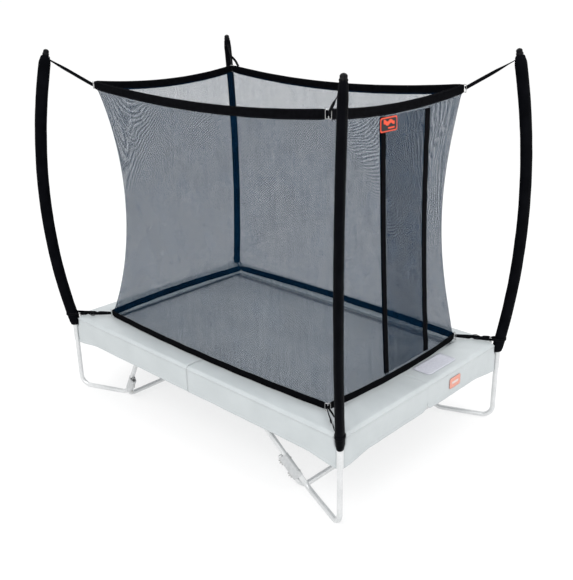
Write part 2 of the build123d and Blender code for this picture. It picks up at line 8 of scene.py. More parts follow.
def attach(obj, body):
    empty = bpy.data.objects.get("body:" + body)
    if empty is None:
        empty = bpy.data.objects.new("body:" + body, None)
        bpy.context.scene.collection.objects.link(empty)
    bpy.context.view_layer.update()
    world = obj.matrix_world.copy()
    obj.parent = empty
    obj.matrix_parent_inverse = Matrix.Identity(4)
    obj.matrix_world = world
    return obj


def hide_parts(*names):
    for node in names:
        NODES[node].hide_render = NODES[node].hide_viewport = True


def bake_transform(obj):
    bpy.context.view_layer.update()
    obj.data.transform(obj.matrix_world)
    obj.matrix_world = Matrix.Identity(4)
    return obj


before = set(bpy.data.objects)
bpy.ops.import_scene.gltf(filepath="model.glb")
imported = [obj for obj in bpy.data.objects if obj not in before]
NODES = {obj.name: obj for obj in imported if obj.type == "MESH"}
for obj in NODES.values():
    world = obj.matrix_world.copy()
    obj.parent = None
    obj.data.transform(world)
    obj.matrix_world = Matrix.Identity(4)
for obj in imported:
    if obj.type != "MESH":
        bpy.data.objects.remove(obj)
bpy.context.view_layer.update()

# The frame: metres, +Z up, ground at 0, entrance on +X, front on -Y. Sizes repeat the CAD model's.
POST = Vector((1.496, -0.958))                # axis of leg post, socket and pole foot
RAIL_Y_IN = 0.922                             # hook leg of a long side's springs
RAIL_X_IN = 1.460                             # hook leg of an end's springs
SPRING_SPAN, SPRING_COIL = 0.140, 0.100
SPRING_PITCH, SPRING_Z, SPRING_R, SPRING_WIRE_R = 0.100, 0.640, 0.0084, 0.0016
SPRINGS = {"long": 25, "short": 14}

POLE_OUT = Vector((0.53, -0.848, 0)).normalized()
POLE_SIDE = Vector((-POLE_OUT[1], POLE_OUT[0], 0))
POLE_STRAIGHT_Z, POLE_BEND_R, POLE_LEAN = 0.600, 0.250, radians(12.7)
POLE_R, POLE_SWEEP = 4.765, radians(26.9)
SLEEVE_STOP = 0.060
SLEEVE_RADIAL, SLEEVE_LATERAL, SLEEVE_BORE = 0.048, 0.032, 0.0197
SHOULDER, SLEEVE_NECK = 0.032, 0.0250          # the sleeve's drawn-in top: its length and end radius
RING_STANDOFF = 0.005                          # ring's plane past the net corner
STRAP_W, NARROW_STRAP_W, STRAP_T = 0.025, 0.022, 0.0024

NET_TOP = (1.198, 0.729, 2.621)
NET_BOTTOM = (1.222, 0.760, 0.714)
NET_PULL = 0.105
CORNER_PULLS = ((-1, -1, 0.028), (1, 1, -0.045))   # corner, and its pull inward beyond NET_PULL
NET_BOW_BOTTOM, NET_BOW_TOP, NET_BOW_MID = 0.045, -0.025, 0.100
NET_INSET = 0.0085
SAG = {True: 0.067, False: 0.048}             # of the top band, long side and short side
TOP_BAND_W, BOTTOM_BAND_W = 0.066, 0.056

DOOR_Y = (-0.135, 0.355)                       # hinge line and free edge of the entrance flap
HINGE_GAP, HINGE_BEND, INNER_LAYER_Y = 0.003, 0.100, -0.185
FLAP_TAPE_W, HINGE_TAPE_W, INNER_TAPE_W = 0.060, 0.050, 0.025
DOOR_Z = (0.749, 2.531)
INNER_GAP, SEWN_INSET = 0.012, 0.0040

PAD_X, PAD_Y, PAD_IN_X, PAD_IN_Y = 1.500, 0.960, 1.238, 0.748
PAD_LOW, PAD_HIGH, SKIRT_Z = 0.655, 0.681, 0.470
PAD_TURN = (0.44, 0.56)                        # shares of the pad's run where its corner starts and ends
PAD_RUN = 2.44                                 # length of a pad from joint to joint
CORNER_DIP, JOINT_ROUND = 0.032, 0.060         # skirt's extra depth at the corner, rounding at the joint
MAT_X, MAT_Y, MAT_Z, MAT_CORNER_R = 1.253, 0.715, 0.640, 0.060
HEM_X, HEM_Y, HEM_W = 1.303, 0.765, 0.050
CORNERS = {"front_right": (1, 1), "front_left": (-1, 1), "back_right": (1, -1), "back_left": (-1, -1)}

CAMERA_AT = Vector((4.307, -4.331, 3.356))
CAMERA_AZ, CAMERA_EL, CAMERA_ROLL = radians(43.97), radians(21.01), radians(-1.05)
CAMERA_LENS = 50.17                           # on a 36 mm sensor


# ---- camera ------------------------------------------------------------------------------------
def make_camera():
    back = Vector((sin(CAMERA_AZ) * cos(CAMERA_EL), -cos(CAMERA_AZ) * cos(CAMERA_EL), sin(CAMERA_EL)))
    right = Vector((0, 0, 1)).cross(back).normalized()
    up = back.cross(right)
    turned_right = right * cos(CAMERA_ROLL) + up * sin(CAMERA_ROLL)
    turned_up = up * cos(CAMERA_ROLL) - right * sin(CAMERA_ROLL)
    data = bpy.data.cameras.new("camera")
    data.lens, data.sensor_width = CAMERA_LENS, 36.0
    camera = bpy.data.objects.new("camera", data)
    bpy.context.scene.collection.objects.link(camera)
    turn = Matrix((turned_right, turned_up, back)).transposed().to_4x4()
    camera.matrix_world = Matrix.Translation(CAMERA_AT) @ turn
    bpy.context.scene.camera = camera


make_camera()


# ---- materials ---------------------------------------------------------------------------------
class Nodes:
    """Short way to build a node tree."""

    def __init__(self, name):
        self.material = bpy.data.materials.new(name)
        self.material.use_nodes = True
        self.tree = self.material.node_tree
        self.shader = self.tree.nodes["Principled BSDF"]

    def add(self, kind, inputs=None, **settings):
        node = self.tree.nodes.new(kind)
        for key, value in settings.items():
            setattr(node, key, value)
        for key, value in (inputs or {}).items():
            self.put(node.inputs[key], value)
        return node

    def put(self, socket, value):
        if isinstance(value, bpy.types.NodeSocket):
            self.tree.links.new(value, socket)
        else:
            socket.default_value = value

    def math(self, operation, a, b=0.0, clamp=False):
        node = self.add("ShaderNodeMath", {0: a, 1: b}, operation=operation)
        node.use_clamp = clamp
        return node.outputs[0]

    def noise(self, vector, scale, detail=3.0):
        inputs = {"Vector": vector, "Scale": scale, "Detail": detail}
        return self.add("ShaderNodeTexNoise", inputs).outputs["Fac"]

    def mix(self, factor, dark, light):
        node = self.add("ShaderNodeMix", {"Factor": factor}, data_type="RGBA")
        self.put(node.inputs[6], (*dark, 1))
        self.put(node.inputs[7], (*light, 1))
        return node.outputs[2]

    def stretched(self, vector, turn, scale):
        inputs = {"Vector": vector, "Rotation": (0, 0, turn), "Scale": scale}
        return self.add("ShaderNodeMapping", inputs).outputs[0]

    def ramp(self, value, low, high, to_low=0.0, to_high=1.0):
        inputs = {"Value": value, "From Min": low, "From Max": high, "To Min": to_low, "To Max": to_high}
        return self.add("ShaderNodeMapRange", inputs).outputs["Result"]

    def bump(self, height, distance, strength=1.0, under=None):
        inputs = {"Height": height, "Distance": distance, "Strength": strength}
        if under is not None:
            inputs["Normal"] = under
        return self.add("ShaderNodeBump", inputs).outputs["Normal"]

    def set(self, **values):
        for key, value in values.items():
            self.put(self.shader.inputs[key.replace("_", " ")], value)


def object_axes(n):
    """Object coordinates and their three parts, in metres."""
    place = n.add("ShaderNodeTexCoord").outputs["Object"]
    parts = n.add("ShaderNodeSeparateXYZ", {"Vector": place})
    return place, parts.outputs[0], parts.outputs[1], parts.outputs[2]


def metre_map(n):
    """The piece's own flat layout in metres: along it, and across it."""
    flat = n.add("ShaderNodeUVMap", uv_map="metres").outputs["UV"]
    parts = n.add("ShaderNodeSeparateXYZ", {"Vector": flat})
    return flat, parts.outputs[0], parts.outputs[1]


def threads(n, along, pitch):
    """0 to 1 profile of parallel threads."""
    return n.math("ABSOLUTE", n.math("SINE", n.math("MULTIPLY", along, pi / pitch)))


def weave(n, u, v, pitch_u, pitch_v):
    """Height of a plain weave, 0 to 1."""
    warp, weft = threads(n, u, pitch_u), threads(n, v, pitch_v)
    swap = n.math("MULTIPLY", n.math("SINE", n.math("MULTIPLY", u, pi / pitch_u)),
                  n.math("SINE", n.math("MULTIPLY", v, pi / pitch_v)))
    over = n.ramp(swap, -0.25, 0.25)
    under = n.math("SUBTRACT", 1.0, over)
    return n.math("ADD", n.math("MULTIPLY", warp, over), n.math("MULTIPLY", weft, under))


COURSE_PITCH = 0.019                           # denser rows of the knitting
THREAD_TINT, THREAD_CLEAR = (0.20, 0.43, 0.68), 0.10   # what a net thread lets through


def net_material(name, dark, light, pitch=0.0052, cover=0.515):
    """Knitted diamond mesh with open holes."""
    n = Nodes(name)
    _, u, v = metre_map(n)
    one, two = n.math("ADD", u, v), n.math("SUBTRACT", u, v)
    holes = n.math("MINIMUM", threads(n, one, pitch), threads(n, two, pitch))
    flat, _, _ = metre_map(n)
    pulled = n.math("ADD", n.noise(n.stretched(flat, 0.9, (34, 2.6, 1)), 1.0, 3.0),
                    n.noise(n.stretched(flat, -1.2, (46, 3.4, 1)), 1.0, 3.0))
    limit = n.ramp(pulled, 0.75, 1.25, cover - 0.045, cover + 0.045)
    drift = n.math("MULTIPLY", n.noise(flat, 1.6, 1.0), 0.06)
    row = n.math("ADD", n.math("ADD", v, n.math("MULTIPLY", u, 0.55)), drift)
    courses = n.math("SINE", n.math("MULTIPLY", row, 2 * pi / COURSE_PITCH))
    limit = n.math("ADD", limit, n.math("MULTIPLY", courses, 0.045))
    edge = n.math("SUBTRACT", holes, limit)
    solid = n.ramp(edge, -0.10, 0.10, 1.0, 0.0)
    tone = n.ramp(n.noise(flat, 3.0, 4.0), 0.35, 0.65)
    n.set(Base_Color=n.mix(tone, dark, light), Roughness=0.7)
    n.set(Normal=n.bump(holes, 0.0006, 0.5))
    n.shader.inputs["Specular IOR Level"].default_value = 0.0
    tint = n.add("ShaderNodeBsdfTransparent", {"Color": (*THREAD_TINT, 1)})
    thread = n.add("ShaderNodeMixShader", {0: 1 - THREAD_CLEAR, 1: tint.outputs[0], 2: n.shader.outputs[0]})
    hole = n.add("ShaderNodeBsdfTransparent", {"Color": (1, 1, 1, 1)})
    mesh = n.add("ShaderNodeMixShader", {0: solid, 1: hole.outputs[0], 2: thread.outputs[0]})
    output = n.tree.nodes["Material Output"]
    n.put(output.inputs["Surface"], mesh.outputs[0])
    n.material.surface_render_method = "DITHERED"
    return n.material


def webbing_material(name, dark, light, width=0.066, stitch=0.010, rib=0.0022):
    """Woven webbing with a rib across and a row of stitches near each edge."""
    n = Nodes(name)
    flat, u, v = metre_map(n)
    ribs = weave(n, u, v, rib, rib * 0.8)
    from_edge = n.math("SUBTRACT", width / 2, n.math("ABSOLUTE", v))
    on_row = n.math("LESS_THAN", n.math("ABSOLUTE", n.math("SUBTRACT", from_edge, stitch * 0.7)), 0.0011)
    dash = n.math("GREATER_THAN", threads(n, u, 0.0062), 0.45)
    thread = n.math("MULTIPLY", on_row, dash)
    grain = n.ramp(n.noise(flat, 26.0, 5.0), 0.3, 0.7)
    height = n.math("ADD", n.math("MULTIPLY", ribs, 0.6), n.math("MULTIPLY", thread, 1.6))
    cloth = n.mix(grain, dark, light)
    mixed = n.add("ShaderNodeMix", {"Factor": thread}, data_type="RGBA")
    n.put(mixed.inputs[6], cloth)
    n.put(mixed.inputs[7], (*[min(1, 2.2 * c + 0.012) for c in light], 1))
    n.set(Base_Color=mixed.outputs[2], Roughness=n.ramp(ribs, 0, 1, 0.62, 0.5))
    n.set(Normal=n.bump(height, 0.0007, 0.8))
    n.shader.inputs["Specular IOR Level"].default_value = 0.01
    return n.material


def sleeve_material():
    """Coated woven cover of the pole sleeves."""
    n = Nodes("sleeve_cover")
    flat, u, v = metre_map(n)
    cloth = weave(n, u, v, 0.0018, 0.0018)
    dust = n.ramp(n.noise(flat, 9.0, 6.0), 0.35, 0.75)
    seam = n.math("LESS_THAN", n.math("ABSOLUTE", n.math("SUBTRACT", v, 0.021)), 0.0009)
    seam = n.math("MULTIPLY", seam, n.math("GREATER_THAN", threads(n, u, 0.0065), 0.45))
    soft = n.noise(flat, 14.0, 3.0)
    n.set(Base_Color=n.mix(dust, (0.0016, 0.0018, 0.0026), (0.0034, 0.0037, 0.0052)))
    n.set(Roughness=n.ramp(cloth, 0, 1, 0.56, 0.42))
    n.set(Normal=n.bump(n.math("ADD", cloth, n.math("MULTIPLY", seam, 2.0)), 0.0004, 0.7,
                        n.bump(soft, 0.004, 0.35)))
    n.shader.inputs["Specular IOR Level"].default_value = 0.012
    return n.material


def vinyl_material():
    """Pale coated fabric of the pads: fine scrim under a satin coat."""
    n = Nodes("pad_vinyl")
    flat, u, v = metre_map(n)
    scrim = weave(n, u, v, 0.0024, 0.0024)
    leather = n.noise(flat, 420.0, 2.0)
    patchy = n.ramp(n.noise(flat, 5.0, 5.0), 0.3, 0.7)
    n.set(Base_Color=n.mix(patchy, (0.455, 0.49, 0.50), (0.505, 0.54, 0.55)))
    n.set(Roughness=n.ramp(patchy, 0, 1, 0.36, 0.46))
    height = n.math("ADD", n.math("MULTIPLY", scrim, 0.6), n.math("MULTIPLY", leather, 0.7))
    n.set(Normal=n.bump(height, 0.0003, 0.5, n.bump(n.noise(flat, 11.0, 3.0), 0.006, 0.25)))
    n.shader.inputs["Coat Weight"].default_value = 0.12
    n.shader.inputs["Coat Roughness"].default_value = 0.3
    return n.material


def mat_material():
    """Woven polypropylene bed."""
    n = Nodes("bed_mesh")
    flat, u, v = metre_map(n)
    cloth = weave(n, u, v, 0.0030, 0.0022)
    # painted sheen: large soft patches of lighter colour in the bed's base colour
    sheen = n.ramp(n.noise(flat, 2.2, 5.0), 0.3, 0.7)
    tone = n.math("ADD", n.math("MULTIPLY", cloth, 0.55), n.math("MULTIPLY", sheen, 0.45))
    n.set(Base_Color=n.mix(tone, (0.38, 0.395, 0.41), (0.62, 0.64, 0.655)))
    n.set(Roughness=0.5, Normal=n.bump(cloth, 0.0006, 0.8))
    n.shader.inputs["Sheen Weight"].default_value = 0.1
    return n.material


def galvanised_material(name, dark, light, rough=(0.30, 0.46), metal=0.55):
    """Zinc-coated tube: faint spangle and duller patches."""
    n = Nodes(name)
    place, _, _, _ = object_axes(n)
    spangle = n.add("ShaderNodeTexVoronoi", {"Vector": place, "Scale": 90.0}).outputs["Color"]
    grey = n.add("ShaderNodeSeparateColor", {"Color": spangle}).outputs[0]
    dull = n.ramp(n.noise(place, 6.0, 6.0), 0.35, 0.7)
    tone = n.math("ADD", n.math("MULTIPLY", grey, 0.35), n.math("MULTIPLY", dull, 0.65))
    n.set(Base_Color=n.mix(tone, dark, light), Roughness=n.ramp(tone, 0, 1, rough[1], rough[0]))
    n.set(Normal=n.bump(n.noise(place, 160.0, 3.0), 0.0004, 0.25))
    n.shader.inputs["Metallic"].default_value = metal
    return n.material


def wire_material(name, dark, light):
    """Bright plated wire, darker in the small scratches."""
    n = Nodes(name)
    place, _, _, _ = object_axes(n)
    worn = n.ramp(n.noise(place, 55.0, 5.0), 0.4, 0.62)
    n.set(Base_Color=n.mix(worn, dark, light), Roughness=n.ramp(worn, 0, 1, 0.34, 0.2))
    n.set(Normal=n.bump(worn, 0.0002, 0.3))
    n.shader.inputs["Metallic"].default_value = 0.9
    return n.material


def plastic_material():
    """Moulded black plastic with a fine grain."""
    n = Nodes("moulded_plastic")
    place, _, _, _ = object_axes(n)
    grain = n.noise(place, 900.0, 2.0)
    scuff = n.ramp(n.noise(place, 40.0, 5.0), 0.45, 0.7)
    n.set(Base_Color=n.mix(scuff, (0.003, 0.0032, 0.004), (0.008, 0.0085, 0.010)))
    n.shader.inputs["Specular IOR Level"].default_value = 0.08
    n.set(Roughness=n.ramp(scuff, 0, 1, 0.36, 0.5), Normal=n.bump(grain, 0.0002, 0.5))
    return n.material


def cloth_label_material(name, dark, light):
    """Plain woven label."""
    n = Nodes(name)
    flat, u, v = metre_map(n)
    cloth = weave(n, u, v, 0.0012, 0.0012)
    tone = n.ramp(n.noise(flat, 60.0, 4.0), 0.3, 0.7)
    n.set(Base_Color=n.mix(tone, dark, light), Roughness=0.6, Normal=n.bump(cloth, 0.0003, 0.6))
    return n.material


NET = net_material("net_mesh", (0.0010, 0.010, 0.025), (0.0024, 0.016, 0.038))
BAND = webbing_material("black_webbing", (0.0014, 0.0015, 0.0020), (0.0034, 0.0036, 0.0048))
HEM = webbing_material("bed_webbing", (0.20, 0.21, 0.225), (0.29, 0.30, 0.315), width=0.050)
STRAP = webbing_material("strap_webbing", (0.0016, 0.0018, 0.0024), (0.0040, 0.0043, 0.0056),
                         width=0.025, stitch=0.006)
SLEEVE = sleeve_material()
VINYL = vinyl_material()
BED = mat_material()
TUBE = galvanised_material("galvanised_tube", (0.60, 0.615, 0.62), (0.74, 0.75, 0.755))
PRESSING = galvanised_material("clamp_steel", (0.46, 0.475, 0.48), (0.62, 0.63, 0.64), (0.34, 0.5), 0.6)
FASTENER = galvanised_material("zinc_fasteners", (0.40, 0.405, 0.40), (0.56, 0.565, 0.55), (0.28, 0.42), 0.8)
WIRE = wire_material("plated_wire", (0.62, 0.63, 0.64), (0.80, 0.81, 0.82))
RING = wire_material("ring_steel", (0.30, 0.30, 0.30), (0.56, 0.56, 0.56))
PLASTIC = plastic_material()
ORANGE = cloth_label_material("orange_label", (0.72, 0.060, 0.022), (0.86, 0.095, 0.035))
BLACK_LABEL = cloth_label_material("black_label", (0.004, 0.004, 0.006), (0.009, 0.009, 0.012))
FADED = cloth_label_material("faded_label", (0.68, 0.29, 0.22), (0.74, 0.34, 0.27))
PALE = cloth_label_material("pale_mark", (0.66, 0.55, 0.52), (0.72, 0.61, 0.58))
GREY_LABEL = cloth_label_material("grey_label", (0.50, 0.51, 0.57), (0.57, 0.58, 0.64))


# ---- mesh helpers ------------------------------------------------------------------------------
def face_outward(mesh):
    """Turn the faces of a closed mesh outward."""
    work = bmesh.new()
    work.from_mesh(mesh)
    if all(len(edge.link_faces) == 2 for edge in work.edges):
        bmesh.ops.recalc_face_normals(work, faces=work.faces)
        work.to_mesh(mesh)
    work.free()
    mesh.update()


def new_piece(name, points, faces, flat, material, body, replaces=()):
    """Mesh object with a flat layout in metres, riding on a body (None leaves it unattached)."""
    mesh = bpy.data.meshes.new(name)
    mesh.from_pydata([tuple(p) for p in points], [], faces)
    layer = mesh.uv_layers.new(name="metres")
    for loop in mesh.loops:
        layer.data[loop.index].uv = flat[loop.vertex_index]
    mesh.materials.append(material)
    mesh.polygons.foreach_set("use_smooth", [True] * len(mesh.polygons))
    face_outward(mesh)
    piece = bpy.data.objects.new(name, mesh)
    bpy.context.scene.collection.objects.link(piece)
    if replaces:
        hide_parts(*replaces)
    if body:
        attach(piece, body)
    return piece


def grid(count_u, count_v, place, layout):
    """Points, faces and flat layout of a grid of count_u by count_v cells."""
    row = count_v + 1
    points, flat, faces = [], [], []
    for i in range(count_u + 1):
        for j in range(row):
            points.append(place(i / count_u, j / count_v))
            flat.append(layout(i / count_u, j / count_v))
    for i in range(count_u):
        for j in range(count_v):
            a, b = i * row + j, (i + 1) * row + j
            faces.append((a, b, b + 1, a + 1))
    return points, faces, flat


def tube_faces(stations, size, closed=False):
    """Faces of a tube with size points at each station. An open tube gets a face at both ends."""
    faces = []
    for i in range(stations if closed else stations - 1):
        near, far = i * size, (i + 1) % stations * size
        for j in range(size):
            k = (j + 1) % size
            faces.append((near + j, near + k, far + k, far + j))
    if not closed:
        faces.append(tuple(reversed(range(size))))
        faces.append(tuple(range((stations - 1) * size, stations * size)))
    return faces


def rounded(x, y, half_x, half_y, radius):
    """Pull a point of a rectangle's grid in so that the rectangle's corners are round."""
    dx, dy = abs(x) - (half_x - radius), abs(y) - (half_y - radius)
    if dx <= 0 or dy <= 0:
        return x, y
    scale = max(dx, dy) / hypot(dx, dy)
    return copysign(half_x - radius + dx * scale, x), copysign(half_y - radius + dy * scale, y)


def solidify(piece, thickness, offset=0.0):
    """Give a sheet its thickness and keep it as mesh."""
    modifier = piece.modifiers.new("thickness", "SOLIDIFY")
    modifier.thickness, modifier.offset = thickness, offset
    apply_modifiers(piece)


def apply_modifiers(piece):
    depsgraph = bpy.context.evaluated_depsgraph_get()
    mesh = bpy.data.meshes.new_from_object(piece.evaluated_get(depsgraph), preserve_all_data_layers=True,
                                           depsgraph=depsgraph)
    piece.modifiers.clear()
    piece.data = mesh


def mirrored(point, sx, sy):
    """A point drawn at the +X -Y corner, at another corner."""
    return Vector((point[0] * sx, point[1] * sy, point[2]))


def place_at(corner, point):
    return mirrored(point, *CORNERS[corner])


def smoothstep(x, low, high):
    t = min(max((x - low) / (high - low), 0.0), 1.0)
    return t * t * (3 - 2 * t)


def arc_frames(points):
    """Tangent at each point of a polyline."""
    last = len(points) - 1
    return [(points[min(i + 1, last)] - points[max(i - 1, 0)]).normalized() for i in range(last + 1)]


def ribbon(name, route, width, thickness, facing, material, body, replaces=(), widths=None):
    """Flat strap along a route. facing(i) is the direction its face looks in at route point i."""
    tangents = arc_frames(route)
    points, flat = [], []
    travelled = 0.0
    for i, (place, tangent) in enumerate(zip(route, tangents)):
        if i:
            travelled += (place - route[i - 1]).length
        out = facing(i)
        out = (out - tangent * out.dot(tangent)).normalized()
        side = tangent.cross(out)
        half = (widths[i] if widths else width) / 2
        section = [(-half, -thickness / 2), (-half * 0.98, thickness / 2), (-half / 3, thickness * 0.6),
                   (half / 3, thickness * 0.6), (half * 0.98, thickness / 2), (half, -thickness / 2),
                   (half / 3, -thickness * 0.6), (-half / 3, -thickness * 0.6)]
        for across, up in section:
            points.append(place + side * across + out * up)
            flat.append((travelled, across))
    return new_piece(name, points, tube_faces(len(route), 8), flat, material, body, replaces)


def smooth_route(points, steps=6):
    """Catmull-Rom line through given points."""
    out = []
    padded = [points[0] * 2 - points[1], *points, points[-1] * 2 - points[-2]]
    for i in range(1, len(padded) - 2):
        p0, p1, p2, p3 = padded[i - 1:i + 3]
        for k in range(steps):
            t = k / steps
            out.append(0.5 * ((2 * p1) + (p2 - p0) * t + (2 * p0 - 5 * p1 + 4 * p2 - p3) * t * t
                              + (3 * p1 - p0 - 3 * p2 + p3) * t ** 3))
    out.append(points[-1])
    return out


# ---- net ---------------------------------------------------------------------------------------
def net_half(height, long_side):
    """Half length, offset and bow of a net wall at a height."""
    t = min(max((height - NET_BOTTOM[2]) / (NET_TOP[2] - NET_BOTTOM[2]), 0.0), 1.0)
    belly = 4 * t * (1 - t)
    half = [NET_BOTTOM[i] + (NET_TOP[i] - NET_BOTTOM[i]) * t - NET_PULL * belly for i in (0, 1)]
    bow = NET_BOW_BOTTOM + (NET_BOW_TOP - NET_BOW_BOTTOM) * t + NET_BOW_MID * belly
    length, offset = half if long_side else half[::-1]
    return length, offset, bow


def wall_point(across, height, long_side, inset=NET_INSET):
    """Point of a wall drawn on the -Y side. across runs from -1 to 1 between the corners."""
    length, offset, bow = net_half(height, long_side)
    folds = 0.0
    for corner in (-1, 1):
        for level in (NET_BOTTOM[2], NET_TOP[2]):
            dx, dz = (across - corner) * length, height - level
            reach = hypot(dx, dz)
            turn = atan2(abs(dx), abs(dz) + 1e-6)
            folds += 0.0045 * sin(turn * 17 + corner) * exp(-((reach - 0.30) / 0.22) ** 2)
    edge = min(smoothstep(height, NET_BOTTOM[2], NET_BOTTOM[2] + 0.2), 1 - smoothstep(height, 2.25, 2.52))
    folds *= edge * (1 - abs(across)) * 4 if abs(across) > 0.75 else edge
    out = offset - inset + bow * (1 - across * across)
    return Vector(((length - inset) * across, -out + folds, height))


def turned(point):
    """A point drawn on the -Y side, on the +X side."""
    return Vector((-point[1], point[0], point[2]))


def on_side(point, side):
    """A point drawn on the -Y side, on any side."""
    if side in ("front", "back"):
        return mirrored(point, 1, 1 if side == "front" else -1)
    return mirrored(turned(point), 1 if side == "right" else -1, 1)


def rim_height(across, long_side):
    """Centre line of the top band."""
    return NET_TOP[2] - SAG[long_side] * (1 - across * across)


def settled(point):
    """The netting hangs a little fuller at the back right corner and tighter at the front left one."""
    t = min(max((point[2] - NET_BOTTOM[2]) / (NET_TOP[2] - NET_BOTTOM[2]), 0.0), 1.0)
    moved = Vector(point)
    for sx, sy, pull in CORNER_PULLS:
        near = max(sx * point[0] / NET_TOP[0], 0.0) ** 3 * max(sy * point[1] / NET_TOP[1], 0.0) ** 3
        moved -= Vector((sx, sy, 0)) * pull * near * 4 * t * (1 - t)
    return moved


def net_wall(name, side, replaces, across=(-1.0, 1.0), inset=NET_INSET, heights=None, body="frame",
             curve=None):
    """One panel of netting on a side of the enclosure, from one band to the other."""
    long_side = side in ("front", "back")
    half = NET_BOTTOM[0] if long_side else NET_BOTTOM[1]
    cells_u, cells_v = max(8, int(half * (across[1] - across[0]) / 0.03)), 60
    low = NET_BOTTOM[2] + BOTTOM_BAND_W / 2 - 0.010
    inset_at = inset if callable(inset) else (lambda a: inset)

    def place(u, v):
        a = across[0] + (across[1] - across[0]) * u
        top = rim_height(a, long_side) - TOP_BAND_W / 2 + 0.010
        bottom = low
        if heights:
            bottom, top = heights
        height = bottom + (top - bottom) * v
        if curve:
            a = curve(u, height)
        sewn = 1.0 if heights else smoothstep(min(height - bottom, top - height), 0.004, 0.035)
        point = wall_point(a, height, long_side, SEWN_INSET + (inset_at(a) - SEWN_INSET) * sewn)
        return settled(on_side(point, side))

    def layout(u, v):
        return (across[0] + (across[1] - across[0]) * u) * half, v * 1.9

    points, faces, flat = grid(cells_u, cells_v, place, layout)
    return new_piece(name, points, faces, flat, NET, body, replaces)


def tape_route(y_at, heights, outset):
    """Upright line on the entrance wall."""
    route = []
    for height in heights:
        length, _, _ = net_half(height, False)
        point = wall_point(y_at(height) / (length - NET_INSET), height, False, NET_INSET - outset)
        route.append(settled(turned(point)))
    return route


def line_heights(low, high, count=48):
    return [low + (high - low) * i / count for i in range(count + 1)]


def build_net():
    for side in ("front", "back", "left"):
        wall = net_wall(f"netting_{side}", side, [f"net_{side}"])

    def share(y, height):
        return y / (net_half(height, False)[0] - NET_INSET)

    hinge, free = DOOR_Y
    outer_edge = hinge - HINGE_GAP
    outer = net_wall("netting_entrance_outer", "right", ["net_entrance_outer"], across=(-1, 0),
                     curve=lambda u, h: -1 + (share(outer_edge, h) + 1) * u)
    inner = net_wall("netting_entrance_inner", "right", ["net_entrance_inner"], across=(0, 1),
                     inset=lambda a: NET_INSET + INNER_GAP * (1 - smoothstep(a, 0.55, 0.98)),
                     curve=lambda u, h: share(inner_edge(h), h) + (1 - share(inner_edge(h), h)) * u)
    flap = net_wall("netting_entrance_flap", "right", ["entrance_flap"], across=(0, 1), heights=DOOR_Z,
                    body=None, curve=lambda u, h: share(hinge + (free - hinge) * u, h))
    blend_at_hinge(flap)

    heights = line_heights(*DOOR_Z)
    on_top = 0.0025
    for stem, middle, width, outset, body in (
            ("flap", lambda h: free - FLAP_TAPE_W / 2, FLAP_TAPE_W, on_top, "flap"),
            ("hinge", lambda h: outer_edge - HINGE_TAPE_W / 2, HINGE_TAPE_W, on_top, "frame"),
            ("inner", lambda h: inner_edge(h) + INNER_TAPE_W / 2, INNER_TAPE_W, on_top - INNER_GAP, "frame")):
        ribbon(f"entrance_{stem}_edge", tape_route(middle, heights, outset), width, 0.0018,
               lambda i: Vector((1, 0, 0)), BAND, body, [f"entrance_{stem}_tape"])


def inner_edge(height):
    """Y of the inner layer's free edge, which leans a little near the top."""
    return INNER_LAYER_Y + 0.002 - 0.010 * smoothstep(height, 2.05, 2.60)


def blend_at_hinge(piece):
    """Bake the placement of a piece on the entrance wall into its mesh."""
    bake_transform(piece)


def band_piece(level, side):
    """Webbing band along one side, with slight edge ripples."""
    long_side = side in ("front", "back")
    top = level == "top"
    corner, width = (NET_TOP, TOP_BAND_W) if top else (NET_BOTTOM, BOTTOM_BAND_W)
    half, offset = (corner[0], corner[1]) if long_side else (corner[1], corner[0])
    bow = NET_BOW_TOP if top else NET_BOW_BOTTOM
    count = 64 if long_side else 44
    half -= 0.004

    def place(u, v):
        a = 2 * u - 1
        lift = -SAG[long_side] * (1 - a * a) if top else 0.0
        taper = 1.0 - 0.22 * smoothstep(abs(a), 0.955, 1.0)
        across = (v - 0.5) * width * taper
        ripple = 0.0016 * sin(a * half * 21 + v * 2.0) * (0.5 - v if top else v - 0.5) * 2
        lean = 0.0035 * (v - 0.5) * (1 if top else -1)
        point = Vector((a * half, -(offset + bow * (1 - a * a)) + ripple + lean, corner[2] + lift + across))
        return on_side(point, side)

    points, faces, flat = grid(count, 8, place, lambda u, v: ((2 * u - 1) * half, (v - 0.5) * width))
    piece = new_piece(f"{level}_webbing_{side}", points, faces, flat, BAND, "frame",
                      [f"{level}_band_{side}"])
    solidify(piece, 0.0022)
    return piece


def build_bands():
    for level in ("top", "bottom"):
        for side in ("front", "back", "left", "right"):
            band_piece(level, side)


# ---- poles -------------------------------------------------------------------------------------
def pole_station(distance):
    """Point and direction on a pole's centre line, in its own plane (out, up), from the sleeve's foot."""
    bend_length = POLE_BEND_R * POLE_LEAN
    if distance <= 0:
        return (0.0, POLE_STRAIGHT_Z + distance), (0.0, 1.0)
    if distance < bend_length:
        turn = distance / POLE_BEND_R
        place = (POLE_BEND_R * (1 - cos(turn)), POLE_STRAIGHT_Z + POLE_BEND_R * sin(turn))
        return place, (sin(turn), cos(turn))
    out, up = POLE_BEND_R * (1 - cos(POLE_LEAN)), POLE_STRAIGHT_Z + POLE_BEND_R * sin(POLE_LEAN)
    left = POLE_LEAN - (distance - bend_length) / POLE_R
    out += POLE_R * (cos(left) - cos(POLE_LEAN))
    up += POLE_R * (sin(POLE_LEAN) - sin(left))
    return (out, up), (sin(left), cos(left))


POLE_LENGTH = POLE_BEND_R * POLE_LEAN + POLE_R * POLE_SWEEP


